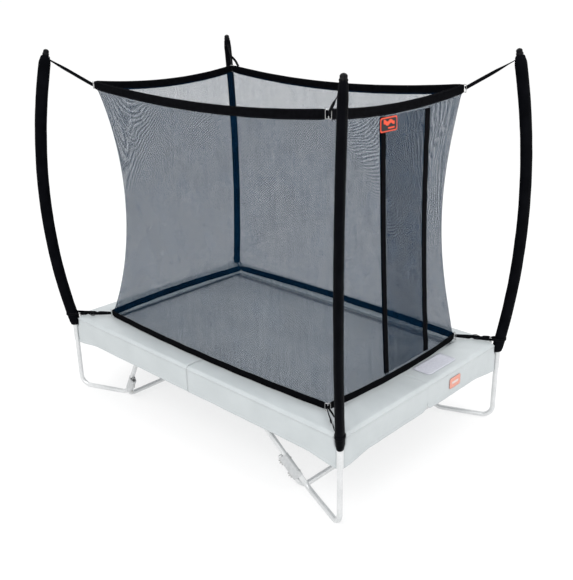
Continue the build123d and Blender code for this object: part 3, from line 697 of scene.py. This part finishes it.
def pole_place(distance):
    """World point, direction and outward normal of a pole at the +X -Y corner."""
    (out, up), (lean_out, lean_up) = pole_station(distance)
    origin = Vector((POST[0], POST[1], 0))
    centre = origin + POLE_OUT * out + Vector((0, 0, up))
    tangent = POLE_OUT * lean_out + Vector((0, 0, lean_up))
    normal = POLE_OUT * lean_up - Vector((0, 0, lean_out))
    return centre, tangent, normal


def sleeve_radius(angle, distance, length, seed):
    """Outer radius of a sleeve. The angle starts at the outward side."""
    drawn = smoothstep(length - distance, -0.004, SHOULDER) ** 0.7
    foot = 0.80 + 0.20 * smoothstep(distance, 0.0, 0.040)
    radial = SLEEVE_NECK + (SLEEVE_RADIAL - SLEEVE_NECK) * drawn
    lateral = SLEEVE_NECK + (SLEEVE_LATERAL - SLEEVE_NECK) * drawn
    oval = foot / sqrt((cos(angle) / radial) ** 2 + (sin(angle) / lateral) ** 2)
    line = 0.0024 * exp(-((distance - 0.052) / 0.005) ** 2) * (1 - smoothstep(distance, 0.09, 0.10))
    line += 0.0020 * exp(-((length - distance - SHOULDER - 0.014) / 0.005) ** 2)
    crease = noise.noise(Vector((distance * 7.0, cos(angle) * 1.4 + seed, sin(angle) * 1.4)))
    fine = noise.noise(Vector((distance * 26.0, cos(angle) * 2.5, sin(angle) * 2.5 + seed)))
    gather = 0.0022 * sin(angle * 13 + seed) * (1 - drawn) * smoothstep(length - distance, 0.0, 0.012)
    lap = 0.0016 * smoothstep(abs(angle - pi), 0.30, 0.36) * (1 - smoothstep(abs(angle - pi), 0.9, 1.4))
    return oval - line - 0.0016 + (0.0013 * crease + 0.0006 * fine + lap) * drawn + gather


def build_sleeve(corner, seed):
    """Foam sleeve: outer skin up to the drawn-in neck, then the bore back down along the pole."""
    sx, sy = CORNERS[corner]
    length = POLE_LENGTH - SLEEVE_STOP + SHOULDER
    around = 40
    skin = [length * i / 140 for i in range(138)] + [length - 0.010, length - 0.006, length - 0.003, length]
    bore = [length - 0.002 - (length - 0.008) * i / 40 for i in range(41)]
    stations = [("skin", d) for d in skin] + [("neck", length + 0.001)]
    stations += [("bore", d) for d in bore] + [("foot", 0.001)]
    points, flat = [], []
    for kind, distance in stations:
        centre, tangent, normal = pole_place(distance)
        side = tangent.cross(normal)
        for j in range(around):
            angle = 2 * pi * j / around
            radius = sleeve_radius(angle, distance, length, seed)
            if kind != "skin":
                share = {"bore": 0.0, "neck": 0.5, "foot": 0.6}[kind]
                radius = SLEEVE_BORE + (radius - SLEEVE_BORE) * share
            point = centre + normal * cos(angle) * radius + side * sin(angle) * radius
            if kind == "skin":
                point = clear_of_rail(point)
            points.append(mirrored(point, sx, sy))
            flat.append((distance, (angle - pi) * 0.034))
    faces = tube_faces(len(stations), around, closed=True)
    piece = new_piece(f"sleeve_{corner}", points, faces, flat, SLEEVE, "frame",
                      [f"pole_sleeve_{corner}"])


def clear_of_rail(point):
    """Press the sleeve's foot flat where it leans on the corner tube."""
    bend_x, bend_y, radius, rail_z = 1.404, -0.866, 0.060, 0.622     # the corner tube's bend
    clear = 0.0235                                                   # its radius and a little air
    dx, dy = point[0] - bend_x, point[1] - bend_y
    reach = hypot(dx, dy)
    if reach < 1e-6 or dx < 0 or dy > 0:
        return point
    off, up = reach - radius, point[2] - rail_z
    if abs(up) < clear and off < sqrt(clear ** 2 - up ** 2):
        scale = (radius + sqrt(clear ** 2 - up ** 2)) / reach
        return Vector((bend_x + dx * scale, bend_y + dy * scale, point[2]))
    return point


# ---- pads --------------------------------------------------------------------------------------
def notch_radius(height):
    """Cut-out round the pole: wide where the sleeve passes, close round the socket below."""
    return 0.030 + 0.023 * smoothstep(height, 0.585, 0.625)


def outline_at(share, margin, height):
    """Outer outline of a corner pad, from mid front to mid right, with the notch round the pole."""
    cut = notch_radius(height)
    x_end, y_end = PAD_X - margin, PAD_Y - margin
    dx, dy = x_end - POST[0], y_end + POST[1]
    reach_x = sqrt(max(cut * cut - dy * dy, 1e-9))
    reach_y = sqrt(max(cut * cut - dx * dx, 1e-9))
    straight_x, straight_y = POST[0] - reach_x - 0.001, -POST[1] - reach_y - 0.001
    corner_x, corner_y = PAD_TURN
    if share < corner_x:
        return Vector((0.001 + straight_x * (share / corner_x), -y_end, height))
    if share > corner_y:
        t = (share - corner_y) / (1 - corner_y)
        return Vector((x_end, -straight_y + (straight_y - 0.001) * t, height))
    start = atan2(-dy, -reach_x)
    start += 2 * pi if start < 0 else 0
    stop = atan2(reach_y, dx)
    turn = (share - corner_x) / (corner_y - corner_x)
    angle = start + (stop - start) * turn
    return Vector((POST[0] + cut * cos(angle), POST[1] + cut * sin(angle), height))


def inline_at(share, height):
    """Inner outline of a corner pad."""
    corner_x, corner_y = PAD_TURN
    soft = 0.040                                 # radius of the inner corner
    if share < corner_x:
        return Vector((0.001 + (PAD_IN_X - soft - 0.001) * share / corner_x, -PAD_IN_Y, height))
    if share > corner_y:
        t = (share - corner_y) / (1 - corner_y)
        return Vector((PAD_IN_X, -(PAD_IN_Y - soft) + (PAD_IN_Y - soft - 0.001) * t, height))
    angle = -pi / 2 + (share - corner_x) / (corner_y - corner_x) * pi / 2
    return Vector((PAD_IN_X - soft + soft * cos(angle), -PAD_IN_Y + soft + soft * sin(angle), height))


def pad_section():
    """Cross-section: share of the way from inner to outer edge, height, and skirt margin."""
    top = []
    for t in (0.0, 0.015, 0.04, 0.08, 0.14, 0.22, 0.32, 0.42, 0.52, 0.62, 0.72, 0.80, 0.87, 0.92, 0.955, 0.98,
              0.993, 1.0):
        crown = 0.0085 * (sin(pi * min(max(t, 0), 1)) ** 0.6)
        edge = 0.010 * (1 - smoothstep(t, 0, 0.05)) + 0.013 * smoothstep(t, 0.94, 1.0)
        top.append((t, PAD_HIGH - 0.002 + crown - edge, 0.0))
    fold = [(1.0, 0.6655, -0.0022), (1.0, 0.6625, -0.0030), (1.0, 0.6595, -0.0022), (1.0, 0.657, 0.0004)]
    skirt = [(1.0, z, 0.0006) for z in (0.640, 0.615, 0.590, 0.565, 0.540, 0.515, 0.4955)]
    hem = [(1.0, 0.4935, 0.0012), (1.0, 0.4915, 0.0), (1.0, 0.480, -0.0004), (1.0, 0.4715, 0.0),
           (1.0, 0.4705, 0.0016)]
    inside = [(1.0, z, 0.0030) for z in (0.480, 0.520, 0.570, 0.620, 0.652)]
    under = [(0.97, PAD_LOW, 0.0), (0.75, PAD_LOW, 0.0), (0.4, PAD_LOW, 0.0), (0.03, PAD_LOW, 0.0)]
    return top + fold + skirt + hem + inside + under


def skirt_drop(share):
    """Depth of the skirt along the pad: deeper at the corner, rounded off at the end side's joint."""
    turn_start, turn_end = PAD_TURN
    drop = PAD_LOW - SKIRT_Z
    if share < turn_start:
        from_corner = (turn_start - share) / turn_start * PAD_X
    else:
        from_corner = (share - turn_end) / (1 - turn_end) * PAD_Y
    drop += CORNER_DIP * (1 - smoothstep(from_corner, 0.02, 0.30))
    from_joint = (1 - share) / (1 - turn_end) * PAD_Y
    if from_joint < JOINT_ROUND:
        drop -= JOINT_ROUND - sqrt(max(JOINT_ROUND ** 2 - (JOINT_ROUND - from_joint) ** 2, 0.0))
    return drop


def pad_point(share, t, height, margin, seed):
    """Point of a pad's surface: station along it, and place in its cross-section."""
    outer = outline_at(share, max(margin, -0.0025), height)
    point = inline_at(share, height).lerp(outer, t)
    if t < 1.0 and height > PAD_LOW + 0.001:
        soft = sin(pi * t) ** 0.8 if t > 0 else 0
        wave = noise.noise(Vector((share * 30, t * 2.5, seed * 3.1)))
        point.z += 0.0020 * wave * soft
        for from_joint in (share * PAD_RUN, (1 - share) * PAD_RUN):
            point.z -= 0.0045 * exp(-(from_joint / 0.012) ** 2) * soft
        point.z -= 0.0035 * exp(-(abs(share - 0.5) / 0.008) ** 2) * soft
    if t == 1.0 and height < 0.65:
        drop = (PAD_LOW - height) / (PAD_LOW - SKIRT_Z)
        point.z = PAD_LOW - drop * skirt_drop(share)
        if not PAD_TURN[0] - 0.01 < share < PAD_TURN[1] + 0.01:
            sway = noise.noise(Vector((share * 16, seed * 2.0, 0.3))) * 0.0035
            sway += noise.noise(Vector((share * 60, height * 6, seed))) * 0.0010
            away = Vector((0, -1, 0)) if share < PAD_TURN[0] else Vector((1, 0, 0))
            point += away * min(sway, 0.002) * drop
    return point


def build_pad(corner, seed):
    """Foam pad with a crowned top and a hanging skirt, bent round one corner."""
    section = pad_section()
    stations = [i / 140 for i in range(134)] + [0.957 + 0.043 * sin(pi / 2 * i / 16) for i in range(17)]
    points, flat = [], []
    for share in stations:
        run, previous = 0.0, None
        for t, height, margin in section:
            point = pad_point(share, t, height, margin, seed)
            if previous is not None:
                run += (point - previous).length
            previous = point
            points.append(place_at(corner, point))
            flat.append((share * PAD_RUN, run))
    faces = tube_faces(len(stations), len(section))
    piece = new_piece(f"pad_cover_{corner}", points, faces, flat, VINYL, "frame",
                      [f"pad_{corner}"])


# ---- bed ---------------------------------------------------------------------------------------
def build_bed():
    cells_x, cells_y = 80, 48

    def place(u, v):
        x, y = (2 * u - 1) * MAT_X, (2 * v - 1) * MAT_Y
        sag = -0.0035 * (1 - (2 * u - 1) ** 2) * (1 - (2 * v - 1) ** 2)
        return Vector((*rounded(x, y, MAT_X, MAT_Y, MAT_CORNER_R), MAT_Z + sag))

    def layout(u, v):
        return (2 * u - 1) * MAT_X, (2 * v - 1) * MAT_Y

    points, faces, flat = grid(cells_x, cells_y, place, layout)
    bed = new_piece("bed_sheet", points, faces, flat, BED, "mat", ["jumping_mat"])
    solidify(bed, 0.0016)
    build_hem()


def hem_outline():
    """Outer edge of the bed's border and its outward direction, side by side and corner by corner."""
    x, y = HEM_X - MAT_CORNER_R, HEM_Y - MAT_CORNER_R
    outline, start = [], (-x, -y)
    for quarter, (corner, steps) in enumerate((((x, -y), 26), ((x, y), 16), ((-x, y), 26), ((-x, -y), 16))):
        facing = (quarter - 1) * pi / 2
        nx, ny = round(cos(facing)), round(sin(facing))
        for k in range(steps):
            along = [a + (b - a) * k / steps for a, b in zip(start, corner)]
            outline.append((along[0] + MAT_CORNER_R * nx, along[1] + MAT_CORNER_R * ny, nx, ny))
        for k in range(8):
            nx, ny = cos(facing + pi / 16 * k), sin(facing + pi / 16 * k)
            outline.append((corner[0] + MAT_CORNER_R * nx, corner[1] + MAT_CORNER_R * ny, nx, ny))
        start = corner
    return outline


def build_hem():
    """Webbing border sewn round the bed, two layers thick, with the V rings' bases inside it."""
    outline = hem_outline()
    upper = [(0.0, 0.0024), (-0.003, 0.0030), (-0.025, 0.0026), (0.003 - HEM_W, 0.0030), (-HEM_W, 0.0016)]
    section = upper + [(inset, -up) for inset, up in reversed(upper)]
    points, flat = [], []
    travelled = 0.0
    for i, (x, y, nx, ny) in enumerate(outline):
        if i:
            travelled += hypot(x - outline[i - 1][0], y - outline[i - 1][1])
        for inset, up in section:
            points.append(Vector((x + nx * inset, y + ny * inset, MAT_Z + up)))
            flat.append((travelled, inset + HEM_W / 2))
    faces = tube_faces(len(outline), len(section), closed=True)
    new_piece("bed_border", points, faces, flat, HEM, "mat", ["mat_hem"])


def spring_line():
    """One spring at the front, at x = 0: outer hook, close coils, inner hook, as one wire line."""
    hook, end = -RAIL_Y_IN, SPRING_SPAN - RAIL_Y_IN
    wire_z = SPRING_Z + SPRING_R - 0.0022
    gap = (SPRING_SPAN - SPRING_COIL) / 2
    bend = [(0, 0.014), (0, 0.007), (0.0006, 0.003), (0.004, 0), (gap - 0.004, 0)]   # inward, down
    line = [Vector((0, hook + inward, wire_z - down)) for inward, down in bend]
    turns, per_turn = 20, 10
    for k in range(turns * per_turn + 1):
        share = k / (turns * per_turn)
        angle = pi / 2 + 2 * pi * turns * share
        along = hook + gap + SPRING_COIL * share
        line.append(Vector((SPRING_R * cos(angle), along, SPRING_Z + SPRING_R * sin(angle))))
    return line + [Vector((0, end - inward, wire_z - down)) for inward, down in reversed(bend)]


def wire_tube(line, radius, sides=6):
    """Points and faces of a round wire along a line."""
    tangents = arc_frames(line)
    normal = Vector((1, 0, 0))
    points = []
    for place, tangent in zip(line, tangents):
        normal = (normal - tangent * normal.dot(tangent)).normalized()
        side = tangent.cross(normal)
        for j in range(sides):
            angle = 2 * pi * j / sides
            points.append(place + normal * cos(angle) * radius + side * sin(angle) * radius)
    return points, tube_faces(len(line), sides)


def build_springs():
    base, base_faces = wire_tube(spring_line(), SPRING_WIRE_R)
    end_shift = Vector((0, RAIL_Y_IN - RAIL_X_IN, 0))
    for side in ("front", "back", "right", "left"):
        long_side = side in ("front", "back")
        shift = Vector() if long_side else end_shift
        count = SPRINGS["long" if long_side else "short"]
        points, faces = [], []
        for i in range(count):
            start = len(points)
            place = shift + Vector(((i - (count - 1) / 2) * SPRING_PITCH, 0, 0))
            points += [on_side(p + place, side) for p in base]
            faces += [tuple(start + k for k in face) for face in base_faces]
        piece = new_piece(f"springs_{side}", points, faces, [(p[0], p[1]) for p in points], WIRE, None,
                          ["springs"])
        outer = Vector((0, -RAIL_Y_IN, SPRING_Z)) + shift
        inner = outer + Vector((0, SPRING_SPAN, 0))
        tuple(on_side(outer, side))
        tuple(on_side(inner, side))
        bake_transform(piece)


# ---- straps and labels -------------------------------------------------------------------------
def slider(name, centre, along, face, width):
    """Three-bar slider: a rounded frame with a middle bar."""
    side = along.cross(face).normalized()
    half_w, half_l, count = width / 2 + 0.004, 0.015, 28
    loop = []
    for k in range(count):
        angle = 2 * pi * k / count
        across = half_w * max(-1, min(1, 1.25 * cos(angle)))
        loop.append(centre + side * across + along * half_l * max(-1, min(1, 1.25 * sin(angle))))
    points = []
    for i, place in enumerate(loop):
        tangent = (loop[(i + 1) % count] - loop[i - 1]).normalized()
        out = face.cross(tangent).normalized()
        for j in range(8):
            angle = 2 * pi * j / 8
            points.append(place + face * sin(angle) * 0.0020 + out * cos(angle) * 0.0024)
    faces = tube_faces(count, 8, closed=True)
    bar, bar_faces = wire_tube([centre - side * half_w, centre, centre + side * half_w], 0.0020, 8)
    faces += [tuple(len(points) + k for k in f) for f in bar_faces]
    points += bar
    new_piece(name, points, faces, [(p[0], p[1]) for p in points], PLASTIC, "frame")


def top_strap_ends():
    """Ring and neck ends of the top strap at the +X -Y corner."""
    start = Vector((NET_TOP[0], -NET_TOP[1], NET_TOP[2])) + POLE_OUT * RING_STANDOFF
    return start, pole_place(POLE_LENGTH - 0.045)[0]


def top_strap(corner):
    """Strap from a top ring to the pole's neck, doubled at the ring, twisting from upright to level."""
    start, neck = top_strap_ends()
    run = (neck - start).normalized()
    stop = neck - run * 0.020
    upright = run.cross(Vector((0, 0, 1))).normalized()
    level = upright.cross(run).normalized()
    count = 36

    def face(share):
        turn = smoothstep(share, 0.35, 0.95) * 1.15
        return place_at(corner, upright * cos(turn) + level * sin(turn))

    route = [place_at(corner, start.lerp(stop, i / count)) for i in range(count + 1)]
    widths = [STRAP_W * (1 - 0.35 * smoothstep(i / count, 0.6, 1.0)) for i in range(count + 1)]
    ribbon(f"top_strap_{corner}", route, STRAP_W, STRAP_T, lambda i: face(i / count), STRAP, "frame",
           ["top_straps"], widths)
    side = place_at(corner, upright)
    fold = [route[0].lerp(route[-1], 0.02 + 0.025 * i) for i in range(17)]
    fold = [p + side * (0.0030 + 0.0012 * sin(pi * i / 16)) for i, p in enumerate(fold)]
    ribbon(f"top_strap_fold_{corner}", fold, STRAP_W, STRAP_T, lambda i: side, STRAP, "frame",
           ["top_straps"])


def bottom_strap(corner):
    """Strap looped from a bottom ring round the foot of the pole sleeve."""
    ring = Vector((NET_BOTTOM[0], -NET_BOTTOM[1], NET_BOTTOM[2])) + POLE_OUT * (RING_STANDOFF + 0.006)
    centre = pole_place(0.104)[0]
    radial, lateral = SLEEVE_RADIAL + 0.002, SLEEVE_LATERAL + 0.002
    loop = []
    for i in range(25):
        angle = -2.15 + 4.30 * i / 24
        radius = 1.0 / sqrt((cos(angle) / radial) ** 2 + (sin(angle) / lateral) ** 2)
        loop.append(centre + POLE_OUT * cos(angle) * radius + POLE_SIDE * sin(angle) * radius)
    go = [ring - POLE_SIDE * 0.005, ring.lerp(loop[0], 0.3) - POLE_SIDE * 0.006, ring.lerp(loop[0], 0.7)]
    back = [ring.lerp(loop[-1], 0.7), ring.lerp(loop[-1], 0.3) + POLE_SIDE * 0.006, ring + POLE_SIDE * 0.005]
    line = smooth_route(go + loop + back + [ring - POLE_OUT * 0.0052], 3)

    def face(i):
        from_pole = line[i] - centre
        away = from_pole
        if from_pole.length > 0.075:
            away = POLE_SIDE * (line[i] - (ring + centre) / 2).dot(POLE_SIDE)
        return place_at(corner, Vector((away[0], away[1], 0)) + POLE_OUT * 1e-4)

    route = [place_at(corner, p) for p in line]
    ribbon(f"bottom_strap_{corner}", route, NARROW_STRAP_W, STRAP_T, face, STRAP, "frame",
           ["bottom_straps"])
    tip = go[1].lerp(go[2], 0.5) - POLE_SIDE * 0.003
    slider(f"bottom_slider_{corner}", place_at(corner, tip), place_at(corner, (go[2] - go[1]).normalized()),
           place_at(corner, -POLE_SIDE), NARROW_STRAP_W)


def build_straps():
    for corner in CORNERS:
        top_strap(corner)
        bottom_strap(corner)
    start, neck = top_strap_ends()
    hang = start.lerp(neck, 0.46)
    tail = [hang - POLE_SIDE * aside - Vector((0, 0, down))
            for aside, down in ((0, 0), (0.020, 0.012), (0.050, 0.045), (0.075, 0.092))]
    route = [place_at("back_left", p) for p in smooth_route(tail, 5)]
    ribbon("top_strap_tail_back_left", route, NARROW_STRAP_W, STRAP_T,
           lambda i: place_at("back_left", POLE_OUT + Vector((0, 0, 0.35))), STRAP, "frame")


def label_grid(name, place, size, count, material, body):
    """Sewn label that follows a surface, a hair thick, with rounded corners."""
    w, h = size

    def at(u, v):
        return place(*rounded((u - 0.5) * w, (v - 0.5) * h, w / 2, h / 2, min(w, h) * 0.16))

    points, faces, flat = grid(count[0], count[1], at, lambda u, v: (u * w, v * h))
    piece = new_piece(name, points, faces, flat, material, body)
    solidify(piece, 0.0012, 1.0)
    return piece


def build_labels():
    centre_y, centre_z = -0.112, 2.480

    def on_wall(outset):
        def place(x, y):
            height = centre_z + y
            length, _, _ = net_half(height, False)
            point = wall_point((centre_y + x) / (length - NET_INSET), height, False, NET_INSET - outset)
            return settled(turned(point))
        return place

    def wave(x, y):
        return on_wall(0.0084)(x, y * (1.25 - 4 * x) + 0.013 + 0.007 * sin(95 * x))

    def low_bar(x, y):
        return on_wall(0.0084)(x + 0.022, y - 0.023)

    for stem, place, size, material in (("rim", on_wall(0.0052), (0.176, 0.094), ORANGE),
                                        ("field", on_wall(0.0068), (0.158, 0.076), BLACK_LABEL),
                                        ("wave", wave, (0.112, 0.020), ORANGE),
                                        ("bar", low_bar, (0.066, 0.010), ORANGE)):
        label = label_grid(f"door_label_{stem}", place, size, (24, 10), material, None)
        blend_at_hinge(label)

    def on_skirt(outset):
        return lambda x, y: Vector((PAD_X + outset, 0.345 + x, 0.572 + y))

    def on_top(x, y):
        return Vector((1.358 + y, 0.285 + x, 0.6905))

    for name, place, size, count, material in (
            ("skirt_label", on_skirt(0.0040), (0.140, 0.084), (10, 8), FADED),
            ("skirt_label_mark", on_skirt(0.0052), (0.082, 0.020), (8, 3), PALE),
            ("pad_label", on_top, (0.36, 0.16), (12, 8), GREY_LABEL)):
        label_grid(name, place, size, count, material, "frame")


# ---- CAD nodes that stay -----------------------------------------------------------------------
def paint(prefixes, material):
    for name, node in NODES.items():
        if name.startswith(prefixes):
            node.data.materials.clear()
            node.data.materials.append(material)


def paint_metal():
    paint(("rail_", "frame_corner", "corner_leg", "end_leg", "pole_front", "pole_back"), TUBE)
    paint(("leg_clamps",), PRESSING)
    paint(("frame_screws", "clamp_bolts", "wing_nuts"), FASTENER)
    paint(("mat_v_rings",), WIRE)
    paint(("top_rings", "bottom_rings"), RING)
    paint(("pole_caps",), PLASTIC)


# ---- floor and light ---------------------------------------------------------------------------
def build_stage():
    mesh = bpy.data.meshes.new("floor")
    mesh.from_pydata([(-40, -40, 0), (40, -40, 0), (40, 40, 0), (-40, 40, 0)], [], [(0, 1, 2, 3)])
    floor = bpy.data.objects.new("floor", mesh)
    bpy.context.scene.collection.objects.link(floor)
    floor.location.z = -0.0005
    paper = Nodes("paper_floor")
    paper.set(Base_Color=(0.34, 0.34, 0.34, 1), Roughness=0.95, Emission_Color=(1, 1, 1, 1))
    paper.shader.inputs["Specular IOR Level"].default_value = 0.05
    paper.shader.inputs["Emission Strength"].default_value = 0.66
    mesh.materials.append(paper.material)
    world = bpy.data.worlds.new("studio")
    world.use_nodes = True
    world.node_tree.nodes["Background"].inputs["Color"].default_value = (1.0, 1.0, 1.0, 1)
    world.node_tree.nodes["Background"].inputs["Strength"].default_value = 1.02
    bpy.context.scene.world = world
    lights = (("key", (3.5, -6.5, 7.5), 5.0, 320), ("side", (7.5, 2.5, 5.5), 4.0, 120),
              ("top", (-2.0, 1.0, 9.0), 6.0, 200))
    for name, place, size, power in lights:
        light = bpy.data.lights.new(name, "AREA")
        light.size, light.energy = size, power
        lamp = bpy.data.objects.new(name, light)
        lamp.location = place
        lamp.rotation_euler = (Vector((0, 0, 1.0)) - Vector(place)).to_track_quat("-Z", "Y").to_euler()
        bpy.context.scene.collection.objects.link(lamp)
    bpy.context.scene.view_settings.view_transform = "Standard"


build_net()
build_bands()
for number, corner_name in enumerate(CORNERS):
    build_sleeve(corner_name, number * 1.7)
    build_pad(corner_name, number * 2.3)
build_bed()
build_springs()
build_straps()
build_labels()
paint_metal()
build_stage()
